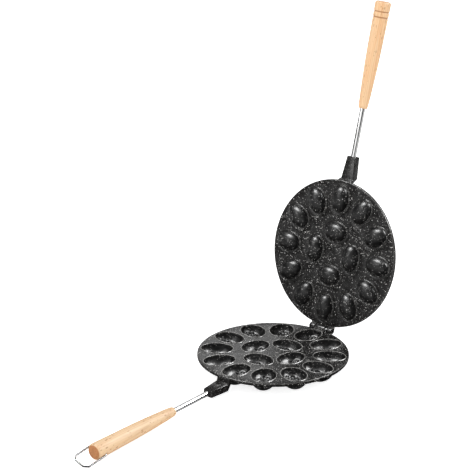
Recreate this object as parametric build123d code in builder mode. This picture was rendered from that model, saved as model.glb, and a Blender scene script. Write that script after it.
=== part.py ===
from build123d import *
import math
import os

os.makedirs("parts", exist_ok=True)

# Millimetres and degrees. The origin is the centre of the lower plate's land, the
# flat face between its cavities. X runs towards the hinge, Z points up.
# The lid stands open against its stop.

# Plates
plate_radius = 100
plate_thickness = 4.6
bead_height = 0.6
bead_width = 1.2
bead_taper = 45
closing_clearance = 0.05

# Walnut pattern, the same on both plates
outer_count = 12
rim_land = 5
inner_count = 4
inner_ring_share = 0.4

# Half walnut shapes: cavities and their bulges below, cores and their hollows above
cavity_half_length = 20
cavity_half_width = 14.8
cavity_depth = 14.8
core_margin = 1.8
core_gap = 4.8
shell_wall = 2.7
foot_wall = 4
core_wall = 2.6
nut_sides = 14
nut_steps = ((0.4, 0.62), (0.22, 0.3))
shell_sides = 12
shell_steps = ((0.5, 0.66),)
hollow_sides = 8
hollow_steps = ((0.45, 0.6),)
ridge_length = 15
ridge_height = 1
ridge_width = 1.6

# Hinge
hinge_offset = 4.3
open_angle = 102.1
eye_radius = 4
pin_diameter = 4
pin_clearance = 0.05
pin_fit = 0.02
pin_end_play = 0.3
pin_end_wall = 1.5
knuckle_left = 10.2
knuckle_right = 6.7
fork_inside = 10.5
fork_lug_width = 8
arm_overlap = 6
stop_length = 7.5
stop_gap = 0.1

# Handle socket, the same on both plates
socket_root = 4
socket_length = 28.5
socket_root_width = 19.8
socket_end_width = 13.8
socket_depth = 10
neck_width = 20.6
neck_flare = 1.5
neck_foot = 4
neck_length = 5
neck_slope_length = 2.6
socket_edge = 0.8
handle_offset = 12.1
lower_handle_tilt = 0.9
upper_handle_tilt = 4.4

# Rods
rod_diameter = 7
rod_fit = 0.02
rod_root = 2.5
rod_bare_length = 65.5
rod_in_grip = 75

# Drive rivets that hold the rods in the sockets
rivet_distance = 6.5
rivet_diameter = 3
rivet_tail = 0.8
rivet_head_diameter = 5.2
rivet_head_height = 0.7
rivet_recess_diameter = 7.6
rivet_recess_depth = 0.9

# Turned wood grips, with their radii at the front, the waist, the widest place and the end
grip_sides = 20
grip_length = 144.5
grip_front_radius = 6.2
grip_waist = 55
grip_waist_radius = 9
grip_radius = 10.8
grip_edge = 3
groove_width = 1.8
groove_depth = 0.8
groove_distances = (118, 125)

# Wire bail on the lower grip
wire_diameter = 2
bail_hole_diameter = 3
bail_from_end = 13
bail_half_width = 13.1
bail_reach = 37.8
bail_corner = 5.9
bail_pin_length = 8
bail_droop = 10.2
grip_turn = 20

# Derived places
outer_ring_radius = plate_radius - cavity_half_length - rim_land
inner_ring_radius = outer_ring_radius * inner_ring_share
land_gap = bead_height + closing_clearance
hinge_x = plate_radius + hinge_offset
hinge_point = Vector(hinge_x, 0, land_gap / 2)
rim_overlap = plate_radius - arm_overlap
fork_outside = fork_inside + fork_lug_width
grip_front = socket_length + rod_bare_length
rod_end = grip_front + rod_in_grip
bail_distance = grip_front + grip_length - bail_from_end
rest_depth = cavity_depth - bead_height + foot_wall
core_height = cavity_depth - core_gap
tail_depth = rod_diameter / 2 + rivet_tail


def opened_lid_frame(angle):
    """The lid's land as a plane: X towards the hinge, Z out of the metal."""
    turn = math.radians(angle)
    lid_x = Vector(math.cos(turn), 0, -math.sin(turn))
    lid_z = Vector(-math.sin(turn), 0, -math.cos(turn))
    centre = hinge_point - lid_x * hinge_x - lid_z * (land_gap / 2)
    return Plane(origin=centre, x_dir=lid_x, z_dir=lid_z)


def side_view(frame):
    """A plane through the middle of a plate, seen along its Y."""
    return Plane(origin=frame.origin, x_dir=frame.x_dir, z_dir=frame.y_dir * -1)


def handle_frame(frame, tilt):
    """A plane across the handle at the socket's root, Z outwards along the rod."""
    lean = math.radians(tilt)
    outwards = frame.x_dir * -math.cos(lean) - frame.z_dir * math.sin(lean)
    root = frame.origin - frame.x_dir * (plate_radius + socket_root)
    return Plane(
        origin=root - frame.z_dir * handle_offset, x_dir=frame.y_dir, z_dir=outwards
    )


def walnut_outline(half_length, half_width, sides):
    """The oval outline of a half walnut, in even steps of the angle."""
    step = 2 * math.pi / sides
    corners = [
        (half_length * math.cos(step * side), half_width * math.sin(step * side))
        for side in range(sides)
    ]
    with BuildSketch() as outline:
        with BuildLine():
            Polyline(*corners, close=True)
        make_face()
    return outline.sketch


def half_walnut(half_length, half_width, depth, sides, steps):
    """Half a walnut below Z = 0. Each step takes a share of the width and depth off."""
    with BuildPart() as nut:
        with BuildSketch():
            add(walnut_outline(half_length, half_width, sides))
        extrude(amount=-depth)
        for across, down in steps:
            floor = nut.faces().sort_by(Axis.Z)[0]
            chamfer(
                floor.edges(),
                length=half_width * across,
                length2=depth * down,
                reference=floor,
            )
    return nut.part


def bulge():
    """The outside of one cavity, flat at the foot that the mold rests on."""
    half_length = cavity_half_length + shell_wall
    half_width = cavity_half_width + shell_wall
    return half_walnut(half_length, half_width, rest_depth, shell_sides, shell_steps)


def bead():
    """The raised line around one cavity, filled in until the cavity is cut."""
    half_length = cavity_half_length + bead_width
    half_width = cavity_half_width + bead_width
    with BuildPart() as line:
        with BuildSketch():
            add(walnut_outline(half_length, half_width, nut_sides))
        extrude(amount=bead_height, taper=bead_taper)
    return line.part


def cavity():
    """What one cavity takes out of the plate: the nut, less the ridge in its floor."""
    with BuildPart() as nut:
        add(
            half_walnut(
                cavity_half_length, cavity_half_width, cavity_depth, nut_sides, nut_steps
            )
        )
        with BuildSketch(Plane.XY.offset(ridge_height - cavity_depth)):
            Rectangle(ridge_length, ridge_width)
        extrude(amount=-ridge_height, mode=Mode.SUBTRACT)
    return nut.part.moved(Location((0, 0, bead_height)))


def core():
    """The half walnut that the lid presses into one cavity."""
    half_length = cavity_half_length - core_margin
    half_width = cavity_half_width - core_margin
    return half_walnut(half_length, half_width, core_height, nut_sides, nut_steps)


def hollow():
    """The hollow behind one core, which keeps the casting's wall even."""
    half_length = cavity_half_length - core_margin - core_wall
    half_width = cavity_half_width - core_margin - core_wall
    depth = plate_thickness + core_height - core_wall
    nut = half_walnut(half_length, half_width, depth, hollow_sides, hollow_steps)
    return nut.moved(Location((0, 0, plate_thickness)))


lower_frame = Plane.XY
lid_frame = opened_lid_frame(open_angle)
lower_handle = handle_frame(lower_frame, lower_handle_tilt)
upper_handle = handle_frame(lid_frame, upper_handle_tilt)


def plate_blank(frame):
    """The round plate on its own."""
    with BuildPart() as blank:
        with BuildSketch(frame):
            Circle(plate_radius)
        extrude(amount=-plate_thickness)
    return blank.part


def socket(frame, tilt, rivet_plane):
    """The neck and the tapered block that takes the rod, with the rivet's recess."""
    slope = math.tan(math.radians(tilt))
    root_x = -(plate_radius + socket_root)
    end_x = root_x - socket_length
    top_x = -(plate_radius + neck_slope_length)
    half_depth = socket_depth / 2

    def axis_z(x):
        return -handle_offset + (x - root_x) * slope

    handle = handle_frame(frame, tilt)
    with BuildPart() as block:
        with BuildSketch(side_view(frame)):
            with BuildLine():
                Polyline(
                    (-rim_overlap, 0),
                    (-plate_radius, 0),
                    (top_x, axis_z(top_x) + half_depth),
                    (end_x, axis_z(end_x) + half_depth),
                    (end_x, axis_z(end_x) - half_depth),
                    (root_x, axis_z(root_x) - half_depth),
                    (neck_foot - plate_radius, -plate_thickness),
                    (-rim_overlap, -plate_thickness),
                    close=True,
                )
            make_face()
        extrude(amount=neck_width, both=True)
        with BuildSketch(frame):
            with BuildLine():
                Polyline(
                    (-rim_overlap, neck_width / 2 + neck_flare),
                    (-plate_radius, neck_width / 2),
                    (-plate_radius - neck_length, socket_root_width / 2),
                    (end_x, socket_end_width / 2),
                    (end_x, -socket_end_width / 2),
                    (-plate_radius - neck_length, -socket_root_width / 2),
                    (-plate_radius, -neck_width / 2),
                    (-rim_overlap, -neck_width / 2 - neck_flare),
                    close=True,
                )
            make_face()
        extrude(amount=handle_offset * 3, both=True, mode=Mode.INTERSECT)
        end_face = block.faces().sort_by(Axis(handle.origin, handle.z_dir))[-1]
        chamfer(end_face.edges(), length=socket_edge)
        with BuildSketch(handle.offset(rod_root)):
            Circle(rod_diameter / 2 + rod_fit)
        extrude(amount=socket_length, mode=Mode.SUBTRACT)
        with BuildSketch(rivet_plane.offset(half_depth - rivet_recess_depth)):
            Circle(rivet_recess_diameter / 2)
        extrude(amount=handle_offset, mode=Mode.SUBTRACT)
        with BuildSketch(rivet_plane.offset(-tail_depth - rod_fit)):
            Circle(rivet_diameter / 2 + rod_fit)
        extrude(amount=socket_depth, mode=Mode.SUBTRACT)
    return block.part


def rivet_frame(handle, side):
    """A plane across the rivet at the rod's axis, Z to the land (+1) or away (-1)."""
    middle = handle.origin + handle.z_dir * rivet_distance
    return Plane(origin=middle, x_dir=handle.z_dir, z_dir=handle.y_dir * -side)


def hinge_arm(frame, from_y, to_y, outline, play, end_wall=0):
    """A hinge eye with its arm between two widths, bored up to a wall at its end."""
    middle = (hinge_x, land_gap / 2)
    width = to_y - from_y
    with BuildPart() as arm:
        with BuildSketch(side_view(frame).offset(-to_y)):
            add(outline)
            with Locations(middle):
                Circle(eye_radius)
        extrude(amount=width)
        with BuildSketch(side_view(frame).offset(end_wall - to_y)):
            with Locations(middle):
                Circle(pin_diameter / 2 + play)
        extrude(amount=width, mode=Mode.SUBTRACT)
    return arm.part


def knuckle():
    """The lower plate's middle eye, with the tongue that the open lid rests on."""
    lid_rest = math.radians(180 - open_angle)
    towards_lid = Vector(math.cos(lid_rest), math.sin(lid_rest))
    along_rim = Vector(math.sin(lid_rest), -math.cos(lid_rest))
    near = Vector(hinge_x, land_gap / 2) + towards_lid * (hinge_offset - stop_gap)
    far = near + along_rim * (stop_length - towards_lid.X) * (1 / along_rim.X)
    with BuildSketch() as outline:
        with BuildLine():
            Polyline(
                (rim_overlap, 0),
                (hinge_x - eye_radius, 0),
                (hinge_x - eye_radius, land_gap / 2),
                (hinge_x, land_gap / 2),
                (near.X, near.Y),
                (far.X, far.Y),
                (far.X, -plate_thickness),
                (rim_overlap, -plate_thickness),
                close=True,
            )
        make_face()
    return hinge_arm(
        lower_frame, -knuckle_right, knuckle_left, outline.sketch, pin_clearance
    )


def fork_lug(side, end_wall):
    """One of the lid's two outer eyes, on the side given by +1 or -1."""
    with BuildSketch() as outline:
        with BuildLine():
            Polyline(
                (rim_overlap, 0),
                (hinge_x - eye_radius, 0),
                (hinge_x - eye_radius, land_gap / 2),
                (hinge_x, land_gap / 2),
                (hinge_x, -eye_radius + land_gap / 2),
                (rim_overlap, -plate_thickness),
                close=True,
            )
        make_face()
    near_y = fork_inside if side > 0 else -fork_outside
    far_y = near_y + fork_lug_width
    return hinge_arm(lid_frame, near_y, far_y, outline.sketch, pin_fit, end_wall)


def rod(handle):
    """A straight rod from the socket's bottom into the grip, drilled for its rivet."""
    with BuildPart() as bar:
        with BuildSketch(handle.offset(rod_root)):
            Circle(rod_diameter / 2)
        extrude(amount=rod_end - rod_root)
        with BuildSketch(rivet_frame(handle, 1)):
            Circle(rivet_diameter / 2 + rod_fit)
        extrude(amount=rod_diameter, both=True, mode=Mode.SUBTRACT)
    return bar.part


def rivet(frame):
    """A rivet with its head in the socket's recess and its tail in the far wall."""
    floor = socket_depth / 2 - rivet_recess_depth
    head_radius = rivet_head_diameter / 2
    with BuildPart() as pin:
        with BuildSketch(side_view(frame)):
            with BuildLine():
                Polyline(
                    (0, -tail_depth),
                    (rivet_diameter / 2, -tail_depth),
                    (rivet_diameter / 2, floor),
                    (head_radius, floor),
                    (head_radius, floor + rivet_head_height),
                    (0, floor + rivet_head_height),
                    close=True,
                )
            make_face()
        revolve(axis=Axis(frame.origin, frame.z_dir))
    return pin.part


def grip_taper(handle, wide, wide_radius, narrow, narrow_radius):
    """A many-sided length of grip that tapers from one distance along it to another."""
    length = abs(narrow - wide)
    outwards = handle.z_dir * math.copysign(1, narrow - wide)
    origin = handle.origin + handle.z_dir * (grip_front + wide)
    slope = math.degrees(math.atan2(wide_radius - narrow_radius, length))
    with BuildPart() as block:
        with BuildSketch(Plane(origin=origin, x_dir=handle.x_dir, z_dir=outwards)):
            RegularPolygon(wide_radius, grip_sides, major_radius=False)
        extrude(amount=length, taper=slope)
    return block.part


def grip(handle):
    """A wood grip, widest near its rounded end and bored for its rod."""
    widest = grip_length - grip_edge
    end_radius = grip_radius - grip_edge
    with BuildPart() as wood:
        add(grip_taper(handle, widest, grip_radius, grip_waist, grip_waist_radius))
        add(grip_taper(handle, grip_waist, grip_waist_radius, 0, grip_front_radius))
        add(grip_taper(handle, widest, grip_radius, grip_length, end_radius))
        with BuildSketch(handle.offset(grip_front)):
            Circle(rod_diameter / 2 + rod_fit)
        extrude(amount=rod_in_grip + rod_fit, mode=Mode.SUBTRACT)
    return wood.part


def groove(handle, distance):
    """A ring cut around a grip, in which the bail's bow can rest."""
    with BuildPart() as ring:
        with BuildSketch(handle.offset(grip_front + distance - groove_width / 2)):
            Circle(grip_radius + groove_depth)
            Circle(grip_radius - groove_depth, mode=Mode.SUBTRACT)
        extrude(amount=groove_width)
    return ring.part


def hinge_pin():
    """The pin, pressed in flush at one side and stopped by a lug's wall at the other."""
    start = pin_end_wall + pin_end_play - fork_outside
    with BuildPart() as shaft:
        with BuildSketch(Plane.XZ.offset(-fork_outside)):
            with Locations((hinge_point.X, hinge_point.Z)):
                Circle(pin_diameter / 2)
        extrude(amount=fork_outside - start)
    return shaft.part


def turned_grip_frame(handle):
    """A plane across the lower grip where the bail pivots, X along the pivot."""
    turn = math.radians(grip_turn)
    pivot_dir = handle.x_dir * math.cos(turn) - handle.y_dir * math.sin(turn)
    origin = handle.origin + handle.z_dir * bail_distance
    return Plane(origin=origin, x_dir=pivot_dir, z_dir=handle.z_dir)


def bail(pivot):
    """The wire bow, its two ends turned in to the hole through the grip."""
    droop = math.radians(bail_droop)
    reach_dir = pivot.z_dir * math.cos(droop) + pivot.y_dir * math.sin(droop)
    frame = Plane(
        origin=pivot.origin, x_dir=pivot.x_dir, z_dir=pivot.x_dir.cross(reach_dir)
    )
    inner_end = bail_half_width - bail_pin_length
    with BuildPart() as bow:
        with BuildLine(frame) as path:
            Polyline(
                (-inner_end, 0),
                (-bail_half_width, 0),
                (-bail_half_width, bail_reach - bail_corner),
                (bail_corner - bail_half_width, bail_reach),
                (bail_half_width - bail_corner, bail_reach),
                (bail_half_width, bail_reach - bail_corner),
                (bail_half_width, 0),
                (inner_end, 0),
            )
        with BuildSketch(Plane(origin=path.line @ 0, z_dir=path.line % 0)):
            Circle(wire_diameter / 2)
        sweep(transition=Transition.RIGHT)
    return bow.part


def nut_places(frame):
    """Where the walnuts lie on a plate: a ring pointing outwards, four turned across."""
    outer = PolarLocations(outer_ring_radius, outer_count)
    inner = PolarLocations(inner_ring_radius, inner_count)
    places = [frame.location * place for place in outer]
    places += [frame.location * place * Rotation(0, 0, 90) for place in inner]
    return places


# The rivets are driven in from above when the mold is shut
lower_rivet_frame = rivet_frame(lower_handle, 1)
upper_rivet_frame = rivet_frame(upper_handle, -1)

# Lower plate, with the cavities
with BuildPart() as lower_plate:
    add(plate_blank(lower_frame))
    add(socket(lower_frame, lower_handle_tilt, lower_rivet_frame))
    add(knuckle())
    with Locations(*nut_places(lower_frame)):
        add(bulge())
        add(bead())
        add(cavity(), mode=Mode.SUBTRACT)
lower_plate.part.label = "lower_plate"
export_step(lower_plate.part, "parts/lower_plate.step")

# Upper plate, the lid, with the cores
with BuildPart() as upper_plate:
    add(plate_blank(lid_frame))
    add(socket(lid_frame, upper_handle_tilt, upper_rivet_frame))
    add(fork_lug(1, pin_end_wall))
    add(fork_lug(-1, 0))
    with Locations(*nut_places(lid_frame)):
        add(core(), rotation=(180, 0, 0))
        add(hollow(), rotation=(180, 0, 0), mode=Mode.SUBTRACT)
upper_plate.part.label = "upper_plate"
export_step(upper_plate.part, "parts/upper_plate.step")

# Hinge pin
with BuildPart() as pin:
    add(hinge_pin())
pin.part.label = "hinge_pin"
export_step(pin.part, "parts/hinge_pin.step")

# Rods
with BuildPart() as lower_rod:
    add(rod(lower_handle))
lower_rod.part.label = "lower_rod"
export_step(lower_rod.part, "parts/lower_rod.step")

with BuildPart() as upper_rod:
    add(rod(upper_handle))
upper_rod.part.label = "upper_rod"
export_step(upper_rod.part, "parts/upper_rod.step")

# Rivets through the sockets and rods
with BuildPart() as lower_rivet:
    add(rivet(lower_rivet_frame))
lower_rivet.part.label = "lower_rivet"
export_step(lower_rivet.part, "parts/lower_rivet.step")

with BuildPart() as upper_rivet:
    add(rivet(upper_rivet_frame))
upper_rivet.part.label = "upper_rivet"
export_step(upper_rivet.part, "parts/upper_rivet.step")

# Grips
bail_pivot = turned_grip_frame(lower_handle)
with BuildPart() as lower_grip:
    add(grip(lower_handle))
    across = Plane(origin=bail_pivot.origin, z_dir=bail_pivot.x_dir)
    with BuildSketch(across):
        Circle(bail_hole_diameter / 2)
    extrude(amount=grip_radius * 2, both=True, mode=Mode.SUBTRACT)
lower_grip.part.label = "lower_grip"
export_step(lower_grip.part, "parts/lower_grip.step")

with BuildPart() as upper_grip:
    add(grip(upper_handle))
    for distance in groove_distances:
        add(groove(upper_handle, distance), mode=Mode.SUBTRACT)
upper_grip.part.label = "upper_grip"
export_step(upper_grip.part, "parts/upper_grip.step")

# Bail
with BuildPart() as hanging_bail:
    add(bail(bail_pivot))
hanging_bail.part.label = "hanging_bail"
export_step(hanging_bail.part, "parts/hanging_bail.step")
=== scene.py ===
import math

import bmesh
import bpy
from mathutils import Matrix, Vector, geometry, noise

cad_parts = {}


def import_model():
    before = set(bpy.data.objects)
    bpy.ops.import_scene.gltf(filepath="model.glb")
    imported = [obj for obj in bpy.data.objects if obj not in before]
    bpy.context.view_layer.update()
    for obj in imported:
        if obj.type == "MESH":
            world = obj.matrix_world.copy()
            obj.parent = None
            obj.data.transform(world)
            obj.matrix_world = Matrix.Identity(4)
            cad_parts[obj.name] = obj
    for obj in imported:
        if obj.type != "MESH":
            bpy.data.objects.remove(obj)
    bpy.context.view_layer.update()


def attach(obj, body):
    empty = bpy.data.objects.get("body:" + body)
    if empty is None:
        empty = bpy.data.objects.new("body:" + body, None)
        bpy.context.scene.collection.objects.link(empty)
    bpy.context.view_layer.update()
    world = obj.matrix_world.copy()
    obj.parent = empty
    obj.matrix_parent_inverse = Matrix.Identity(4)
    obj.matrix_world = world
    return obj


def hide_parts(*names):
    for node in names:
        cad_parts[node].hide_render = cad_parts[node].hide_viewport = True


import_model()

MM = 0.001

# Light levels of the studio: what the surfaces mirror, what fills the shadows, and
# what lifts the floor to white
WALL_LIGHT = 2.3
PANEL_LIGHT = 0.5
STRIP_LIGHT = 1.3
SKY_LIGHT = 0.5
DARK_LIGHT = 0.03
ROOM_LIGHT = 0.88
FLOOR_LIFT = 0.80

# Sizes in millimetres and degrees, as the CAD model has them. KNUCKLE, LUGS and
# PIN_ENDS are places across the hinge, from one side to the other.
PLATE_RADIUS = 100
PLATE_THICKNESS = 4.6
BEAD_HEIGHT = 0.6
BEAD_WIDTH = 1.2
CLOSING_CLEARANCE = 0.05
OUTER_COUNT = 12
OUTER_RING = 75
INNER_COUNT = 4
INNER_RING = 30
NUT_LENGTH = 20
NUT_WIDTH = 14.8
NUT_DEPTH = 14.8
CORE_MARGIN = 1.8
CORE_GAP = 4.8
SHELL_WALL = 2.7
CORE_WALL = 2.6
REST_DEPTH = 18.2
HINGE_OFFSET = 4.3
OPEN_ANGLE = 102.1
EYE_RADIUS = 4
PIN_RADIUS = 2
PIN_CLEARANCE = 0.05
PIN_ENDS = (-16.7, 18.5)
KNUCKLE = (-6.7, 10.2)
LUGS = ((-18.5, -10.5), (10.5, 18.5))
ARM_OVERLAP = 6
STOP_LENGTH = 7.5
STOP_GAP = 0.1
SOCKET_ROOT = 4
SOCKET_LENGTH = 28.5
SOCKET_ROOT_WIDTH = 19.8
SOCKET_END_WIDTH = 13.8
SOCKET_DEPTH = 10
NECK_WIDTH = 20.6
NECK_FOOT = 4
HANDLE_OFFSET = 12.1
LOWER_TILT = 0.9
UPPER_TILT = 4.4
ROD_RADIUS = 3.5
ROD_ROOT = 2.5
ROD_BARE = 65.5
ROD_IN_GRIP = 75
RIVET_DISTANCE = 6.5
RIVET_RADIUS = 1.5
RIVET_TAIL = 4.3
RIVET_HEAD_RADIUS = 2.6
RIVET_HEAD_HEIGHT = 0.7
RECESS_RADIUS = 3.8
RECESS_DEPTH = 0.9
GRIP_LENGTH = 144.5
GRIP_GROOVE_DEPTH = 0.8
BAIL_HOLE_RADIUS = 1.5
BAIL_FROM_END = 13
BAIL_HALF_WIDTH = 13.1
BAIL_REACH = 37.8
BAIL_CORNER = 5.9
BAIL_PIN_LENGTH = 8
BAIL_DROOP = 10.2
GRIP_TURN = 20

# Sizes in millimetres of the scene's own: rounder forms than the CAD model's, sizes
# measured in the photograph after the CAD model was done, and how far helper shapes
# reach past what they cut
FOOT_CROWN = 0.5
ROD_EDGE = 0.6
PIN_EDGE = 0.4
ARM_EDGE = 0.45
ARM_TOP = -0.2
TAPER_START = 5
GRIP_EDGE = 3.6
GRIP_SHAPE = (
    (0, 5.35), (1.5, 5.9), (4, 6.32), (8, 6.68), (15, 7.18), (25, 7.66), (35, 8.14),
    (45, 8.59), (55, 8.98), (65, 9.31), (75, 9.57), (90, 9.85), (105, 10.08),
    (115, 10.26), (125, 10.45), (135, 10.62), (141, 10.7),
)
END_GRAIN_DEPTH = 1.2
MOUTH_EASE = 1.2
CORE_GROOVE_MARGIN = 1.5
CORE_GROOVE_SINK = 0.7
GRIP_GROOVES = (122.8, 130.4)
GRIP_GROOVE_HALF_WIDTH = 1.2
WIRE_RADIUS = 1.15
BAIL_BEND = 2.5
BORE_REACH = 40
DRILL_REACH = 30
RECESS_REACH = 6

LAND_GAP = BEAD_HEIGHT + CLOSING_CLEARANCE
HINGE_X = PLATE_RADIUS + HINGE_OFFSET
GRIP_FRONT = SOCKET_LENGTH + ROD_BARE

# Mesh fineness: points round a form, rings down a walnut, where a profile has its
# points, and the steepest edge in degrees that is still shaded smooth
NUT_POINTS = 96
NUT_RINGS = 30
SMOOTH_RINGS = 20
RIM_POINTS = 288
ROUND_POINTS = 96
FINE_POINTS = 64
SMALL_POINTS = 48
WIRE_POINTS = 24
GRIP_STEPS = 96
GRIP_END_STEPS = 12
GROOVE_STEPS = (-1.3, -1, -0.7, -0.35, 0, 0.35, 0.7, 1, 1.3)
BULGE_TURNS = (14.0, 15.2, 17.0, 20, 24, 28, 33, 38, 43, 48, 53, 58, 63, 68, 73, 78)
SHARP_EDGE = 35
SHARP_CASTING = 40
SHARP_TURNED = 50


# Frames ---------------------------------------------------------------------

def frame_matrix(origin, x_dir, z_dir):
    """A placement whose columns are X, Y, Z and the origin."""
    z_dir = Vector(z_dir).normalized()
    y_dir = z_dir.cross(Vector(x_dir)).normalized()
    x_dir = y_dir.cross(z_dir)
    matrix = Matrix((x_dir, y_dir, z_dir)).transposed().to_4x4()
    matrix.translation = Vector(origin)
    return matrix


def lid_matrix():
    """The open lid's land: X towards the hinge, Z out of the metal."""
    turn = math.radians(OPEN_ANGLE)
    lid_x = Vector((math.cos(turn), 0, -math.sin(turn)))
    lid_z = Vector((-math.sin(turn), 0, -math.cos(turn)))
    hinge = Vector((HINGE_X, 0, LAND_GAP / 2))
    return frame_matrix(hinge - lid_x * HINGE_X - lid_z * (LAND_GAP / 2), lid_x, lid_z)


def hinge_axis():
    """Z along the hinge, in a plate's frame."""
    return frame_matrix((HINGE_X, 0, LAND_GAP / 2), (1, 0, 0), (0, 1, 0))


def handle_matrix(plate_matrix, tilt):
    """Across the handle at the socket's root, Z outwards along the rod."""
    lean = math.radians(tilt)
    local = frame_matrix(
        (-(PLATE_RADIUS + SOCKET_ROOT), 0, -HANDLE_OFFSET),
        (0, 1, 0),
        (-math.cos(lean), 0, -math.sin(lean)),
    )
    return plate_matrix @ local


# Meshes ---------------------------------------------------------------------

def make_object(name, mesh_builder, matrix, body, node, material, sharp=SHARP_EDGE):
    """A finished piece: built in millimetres, placed, smoothed and tied to its body."""
    mesh = bpy.data.meshes.new(name)
    bmesh.ops.remove_doubles(mesh_builder, verts=mesh_builder.verts, dist=1e-4)
    bmesh.ops.recalc_face_normals(mesh_builder, faces=mesh_builder.faces)
    mesh_builder.to_mesh(mesh)
    mesh_builder.free()
    mesh.transform(Matrix.Scale(MM, 4) @ matrix)
    mark_grain(mesh, matrix)
    smooth(mesh, sharp)
    piece = add_object(name, mesh)
    for part in material if isinstance(material, tuple) else (material,):
        mesh.materials.append(part)
    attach(piece, body)
    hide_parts(node)
    return piece


def add_object(name, data):
    made = bpy.data.objects.new(name, data)
    bpy.context.scene.collection.objects.link(made)
    return made


def smooth(mesh, sharp=SHARP_EDGE):
    """Smooth shading, apart from edges steeper than an angle in degrees."""
    mesh.polygons.foreach_set("use_smooth", [True] * len(mesh.polygons))
    mesh.set_sharp_from_angle(angle=math.radians(sharp))


def mark_grain(mesh, matrix):
    """Keeps each point's place in its piece's own frame, for the materials."""
    home = (Matrix.Scale(MM, 4) @ matrix).inverted()
    grain = mesh.attributes.get("grain")
    if not grain:
        grain = mesh.attributes.new("grain", "FLOAT_VECTOR", "POINT")
    for index, vertex in enumerate(mesh.vertices):
        grain.data[index].vector = (home @ vertex.co) * MM


def add_ring(mesh, points):
    return [mesh.verts.new(point) for point in points]


def bridge(mesh, ring, other):
    """Quads between two rings of as many points."""
    for index in range(len(ring)):
        after = (index + 1) % len(ring)
        mesh.faces.new((ring[index], ring[after], other[after], other[index]))


def join_rings(mesh, sections):
    """A ring from each outline, with quads from one to the next; returns the rings."""
    rings = [add_ring(mesh, section) for section in sections]
    for ring, after in zip(rings, rings[1:]):
        bridge(mesh, ring, after)
    return rings


def close_ring(mesh, ring, centre):
    """Triangles from a ring to a point in its middle."""
    middle = mesh.verts.new(centre)
    for index, vertex in enumerate(ring):
        mesh.faces.new((vertex, ring[(index + 1) % len(ring)], middle))


def circle_points(radius, z, count):
    step = 2 * math.pi / count
    return [
        (radius * math.cos(step * index), radius * math.sin(step * index), z)
        for index in range(count)
    ]


def fill_land(mesh, rim, holes, z):
    """The flat face inside a rim and around the holes."""
    outline = [Vector(point[:2]) for point in rim]
    points = list(outline)
    edges = [(index, (index + 1) % len(rim)) for index in range(len(rim))]
    for hole in holes:
        first = len(points)
        points += [Vector(point[:2]) for point in hole]
        edges += [
            (first + index, first + (index + 1) % len(hole)) for index in range(len(hole))
        ]
    flat = geometry.delaunay_2d_cdt(points, edges, [], 0, 1e-6)
    corners = [mesh.verts.new((point.x, point.y, z)) for point in flat[0]]
    centres = [
        sum((Vector(point[:2]) for point in hole), Vector((0, 0))) / len(hole)
        for hole in holes
    ]
    for face in flat[2]:
        middle = sum((flat[0][index] for index in face), Vector((0, 0))) / len(face)
        if not any(inside_hole(middle, hole, centre) for hole, centre in zip(holes, centres)):
            mesh.faces.new([corners[index] for index in face])


def inside_hole(point, hole, centre):
    """Whether a point is inside a convex outline."""
    if (point - centre).length > NUT_LENGTH * 1.5:
        return False
    for index, corner in enumerate(hole):
        start = Vector(corner[:2])
        side = Vector(hole[(index + 1) % len(hole)][:2]) - start
        if side.x * (point.y - start.y) - side.y * (point.x - start.x) < 0:
            return False
    return True


def revolve(mesh, profile, count=ROUND_POINTS):
    """A body of revolution about Z from (radius, height) points, closed at both ends."""
    rings = join_rings(
        mesh, [circle_points(radius, height, count) for radius, height in profile]
    )
    close_ring(mesh, rings[0], (0, 0, profile[0][1]))
    close_ring(mesh, rings[-1], (0, 0, profile[-1][1]))


def round_corner(profile, radius, steps=6):
    """A profile with its inner corners rounded by quadratic curves."""
    rounded = [profile[0]]
    for before, corner, after in zip(profile, profile[1:], profile[2:]):
        corner = Vector(corner)
        into = Vector(before) - corner
        out = Vector(after) - corner
        reach = min(radius, into.length / 2, out.length / 2)
        start = corner + into.normalized() * reach
        end = corner + out.normalized() * reach
        for step in range(steps + 1):
            share = step / steps
            to_corner, from_corner = start.lerp(corner, share), corner.lerp(end, share)
            rounded.append(tuple(to_corner.lerp(from_corner, share)))
    return rounded + [profile[-1]]


# Materials ------------------------------------------------------------------

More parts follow.
